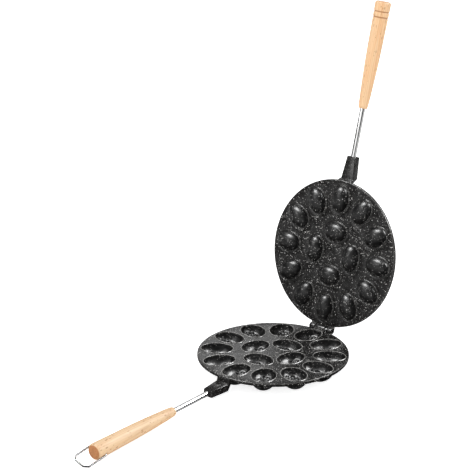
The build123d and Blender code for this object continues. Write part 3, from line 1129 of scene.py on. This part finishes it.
def bend_path(corners, radius, steps=10):
    """A path with its corners bent to arcs of one radius."""
    path = [Vector(corners[0])]
    for before, corner, after in zip(corners, corners[1:], corners[2:]):
        before, corner, after = Vector(before), Vector(corner), Vector(after)
        into, out = (before - corner).normalized(), (after - corner).normalized()
        half = into.angle(out) / 2
        centre = corner + (into + out).normalized() * (radius / math.sin(half))
        start = corner + into * (radius / math.tan(half))
        end = corner + out * (radius / math.tan(half))
        first, last = start - centre, end - centre
        for step in range(steps + 1):
            path.append(centre + first.slerp(last, step / steps))
    return path + [Vector(corners[-1])]


def bail(handle):
    """The wire bow, its two ends turned in to the hole; returns its pivot's frame."""
    matrix, pivot = bail_matrix(handle)
    inner = BAIL_HALF_WIDTH - BAIL_PIN_LENGTH
    path = bend_path(
        [
            (-inner, 0, 0),
            (-BAIL_HALF_WIDTH, 0, 0),
            (-BAIL_HALF_WIDTH, BAIL_REACH - BAIL_CORNER, 0),
            (BAIL_CORNER - BAIL_HALF_WIDTH, BAIL_REACH, 0),
            (BAIL_HALF_WIDTH - BAIL_CORNER, BAIL_REACH, 0),
            (BAIL_HALF_WIDTH, BAIL_REACH - BAIL_CORNER, 0),
            (BAIL_HALF_WIDTH, 0, 0),
            (inner, 0, 0),
        ],
        BAIL_BEND,
    )
    mesh = bmesh.new()
    sections = []
    for index, point in enumerate(path):
        before, after = path[max(index - 1, 0)], path[min(index + 1, len(path) - 1)]
        along = (after - before).normalized()
        side = Vector((0, 0, 1)).cross(along)
        ring = []
        for step in range(WIRE_POINTS):
            angle = 2 * math.pi * step / WIRE_POINTS
            offset = side * math.cos(angle) + Vector((0, 0, 1)) * math.sin(angle)
            ring.append(tuple(point + offset * WIRE_RADIUS))
        sections.append(ring)
    rings = join_rings(mesh, sections)
    close_ring(mesh, rings[0], tuple(path[0]))
    close_ring(mesh, rings[-1], tuple(path[-1]))
    make_object(
        "bail_wire", mesh, matrix, "bail", "hanging_bail", wire_steel,
        SHARP_TURNED,
    )
    return pivot


def drill_grip(piece, pivot, home):
    """The hole through the lower grip for the bail's ends, on the bail's pivot."""
    drill = bmesh.new()
    ends = [(BAIL_HOLE_RADIUS, -DRILL_REACH), (BAIL_HOLE_RADIUS, DRILL_REACH)]
    revolve(drill, ends, SMALL_POINTS)
    cut(piece, drill, pivot @ frame_matrix((0, 0, 0), (0, 0, 1), (1, 0, 0)), home)


# The mold -------------------------------------------------------------------

lower = Matrix.Identity(4)
lid = lid_matrix()
lower_handle = handle_matrix(lower, LOWER_TILT)
upper_handle = handle_matrix(lid, UPPER_TILT)

plate("lower_casting", lower, "base", "lower_plate", cavity_rings(), bulge_rings())
plate("upper_casting", lid, "lid", "upper_plate", core_rings(), hollow_rings())
socket("lower_socket", lower, LOWER_TILT, 1, "base", "lower_plate")
socket("upper_socket", lid, UPPER_TILT, -1, "lid", "upper_plate")
side_profile("lower_knuckle", knuckle_outline(), KNUCKLE, lower, "base", "lower_plate")
for index, widths in enumerate(LUGS):
    side_profile(f"upper_lug_{index}", lug_outline(), widths, lid, "lid", "upper_plate")
hinge_pin()
rod("lower_rod_steel", lower_handle, "base", "lower_rod")
rod("upper_rod_steel", upper_handle, "lid", "upper_rod")
rivet("lower_rivet_head", lower_handle, 1, "base", "lower_rivet")
rivet("upper_rivet_head", upper_handle, -1, "lid", "upper_rivet")
lower_wood = grip("lower_grip_wood", lower_handle, "base", "lower_grip", (), pale_wood)
grip("upper_grip_wood", upper_handle, "lid", "upper_grip", GRIP_GROOVES, warm_wood)
drill_grip(
    lower_wood, bail(lower_handle), lower_handle @ Matrix.Translation((0, 0, GRIP_FRONT))
)


# Floor, light and camera ------------------------------------------------------

# What the floor touches, as x and z in millimetres, and its gap and size in metres
FEET = (85, -REST_DEPTH)
GRIP_LOW = (-322, -26.75)
FLOOR_GAP = 0.0002
FLOOR_REACH = 6.0

# Name, place, size in metres, watts, and whether it lights surfaces or is mirrored
LAMPS = (
    ("key", (-1.0, 0.95, 1.3), (0.8, 0.8), 5, "light"),
    ("fill", (-1.0, -1.5, 0.7), (0.8, 0.6), 5, "light"),
    ("left_gloss", (-1.52, 0.80, 0.90), (0.6, 0.6), 5, "mirrored"),
    ("top_gloss", (-0.57, 0.67, 1.79), (0.8, 0.8), 60, "mirrored"),
    ("right_gloss", (0.95, -1.05, 1.35), (1.0, 1.0), 92, "mirrored"),
)
LAMP_TARGET = (0, 0, 0.1)

CAMERA_PLACE = (-1.9632, -1.5847, 1.1144)
CAMERA_AIM = (0.71630, 0.60210, -0.35215)
CAMERA_LENS = 160.0


def floor():
    """A plain white floor through the feet and the lower grip's end.

    The camera sees it white with the mold's shadow. For glossy rays it glows instead, a
    painted reflection: a painted shadow near the mold, dark past the bail, paler further off.
    """
    foot = Vector((FEET[0] * MM, 0, FEET[1] * MM))
    grip_low = Vector((GRIP_LOW[0] * MM, 0, GRIP_LOW[1] * MM))
    slope = math.atan2(foot.z - grip_low.z, foot.x - grip_low.x)
    mesh = bpy.data.meshes.new("floor")
    near, far = -FLOOR_REACH, FLOOR_REACH
    corners = [(near, near, 0), (far, near, 0), (far, far, 0), (near, far, 0)]
    mesh.from_pydata(corners, [], [(0, 1, 2, 3)])
    piece = add_object("floor", mesh)
    piece.location = foot - Vector((0, 0, FLOOR_GAP))
    piece.rotation_euler = (0, -slope, 0)

    shader = Shader("floor_white")
    shader.finish(Base_Color=grey(0.86), Roughness=0.9, Specular_IOR_Level=0.1)
    place = shader.node("ShaderNodeTexCoord").outputs["Object"]
    along = shader.node("ShaderNodeSeparateXYZ", None, Vector=place).outputs[0]
    # Painted reflection: for glossy rays the floor glows, darker near the mold as a painted
    # shadow and darker past the bail
    painted_shadow_level = shader.ramp(along, 0.45, 0.05, -0.225, -0.20)
    away = shader.vector("DISTANCE", place, (-0.2, -0.2, 0))
    heading = shader.vector("NORMALIZE", place)
    past_bail = shader.vector("DOT_PRODUCT", heading, (-0.56, -0.83, 0))
    mirrored = shader.product(
        shader.ramp(away, painted_shadow_level, 0.7, 0.50, 0.78),
        shader.ramp(past_bail, 1.0, 0.04, 0.93, 0.975),
    )

    def glow(strength):
        return shader.node(
            "ShaderNodeEmission", None, Color=(1, 1, 1, 1), Strength=strength
        ).outputs[0]

    paths = shader.node("ShaderNodeLightPath").outputs
    plain = shader.surface.outputs[0]
    seen = shader.fill(shader.node("ShaderNodeAddShader"), plain, glow(FLOOR_LIFT))[0]
    for path, other in (("Is Camera Ray", seen), ("Is Glossy Ray", glow(mirrored))):
        blend = shader.node("ShaderNodeMixShader")
        plain = shader.fill(blend, paths[path], plain, other)[0]
    shader.put(shader.tree.nodes["Material Output"].inputs[0], plain)
    mesh.materials.append(shader.material)


def world():
    """White where the camera sees it; for reflections a studio with a bright far wall."""
    made = bpy.data.worlds.new("studio")
    made.use_nodes = True
    bpy.context.scene.world = made
    nodes = Nodes(made.node_tree)
    place = nodes.node("ShaderNodeTexCoord").outputs["Generated"]

    def towards(direction, low, high):
        """Fades in as the view turns towards a direction, between two cosines."""
        cosine = nodes.vector("DOT_PRODUCT", place, Vector(direction).normalized())
        return nodes.ramp(cosine, 0.0, 1.0, low, high)

    raised = nodes.vector("DOT_PRODUCT", place, (0, 0, 1))
    off_band = nodes.maths("ABSOLUTE", nodes.maths("SUBTRACT", raised, 0.08))
    wall = nodes.product(
        towards((0.75, 0.66, 0.0), 0.80, 0.97), towards((0, 0, 1), 0.25, 0.38), WALL_LIGHT
    )
    panel = nodes.product(towards((0.72, 0.1, 0.68), 0.86, 0.95), PANEL_LIGHT)
    sky = nodes.product(towards((-0.2, 0.0, 1.0), 0.88, 0.97), SKY_LIGHT)
    strip = nodes.product(
        towards((-0.99, -0.14, 0.0), 0.83, 0.88),
        nodes.ramp(off_band, 1.0, 0.0, 0.12, 0.18),
        STRIP_LIGHT,
    )
    mirrored = nodes.highest(wall, panel, sky, strip, DARK_LIGHT)
    paths = nodes.node("ShaderNodeLightPath").outputs
    glossy, seen = paths["Is Glossy Ray"], paths["Is Camera Ray"]
    fill_light = nodes.product(nodes.rest(glossy), ROOM_LIGHT)
    light = nodes.maths("ADD", nodes.product(glossy, mirrored), fill_light)
    light = nodes.highest(nodes.product(nodes.rest(seen), light), seen)
    background = nodes.tree.nodes["Background"].inputs
    nodes.put(background["Strength"], light)
    nodes.put(background["Color"], (1, 1, 1, 1))


def softbox(name, place, size, watts, use):
    light = bpy.data.lights.new(name, "AREA")
    light.shape = "RECTANGLE"
    light.size, light.size_y = size
    light.energy = watts
    lamp = add_object(name, light)
    lamp.location = place
    aim = Vector(LAMP_TARGET) - Vector(place)
    lamp.rotation_euler = aim.to_track_quat("-Z", "Y").to_euler()
    lamp.visible_diffuse, lamp.visible_glossy = use == "light", use == "mirrored"


def camera():
    """The photograph's own viewpoint, far back with a long lens."""
    lens = bpy.data.cameras.new("camera")
    lens.sensor_width = 36
    lens.lens = CAMERA_LENS
    lens.clip_start, lens.clip_end = 0.1, 50
    shot = add_object("camera", lens)
    shot.location = CAMERA_PLACE
    shot.rotation_euler = Vector(CAMERA_AIM).to_track_quat("-Z", "Y").to_euler()
    bpy.context.scene.camera = shot


floor()
world()
for lamp in LAMPS:
    softbox(*lamp)
camera()
bpy.context.scene.view_settings.view_transform = "Standard"
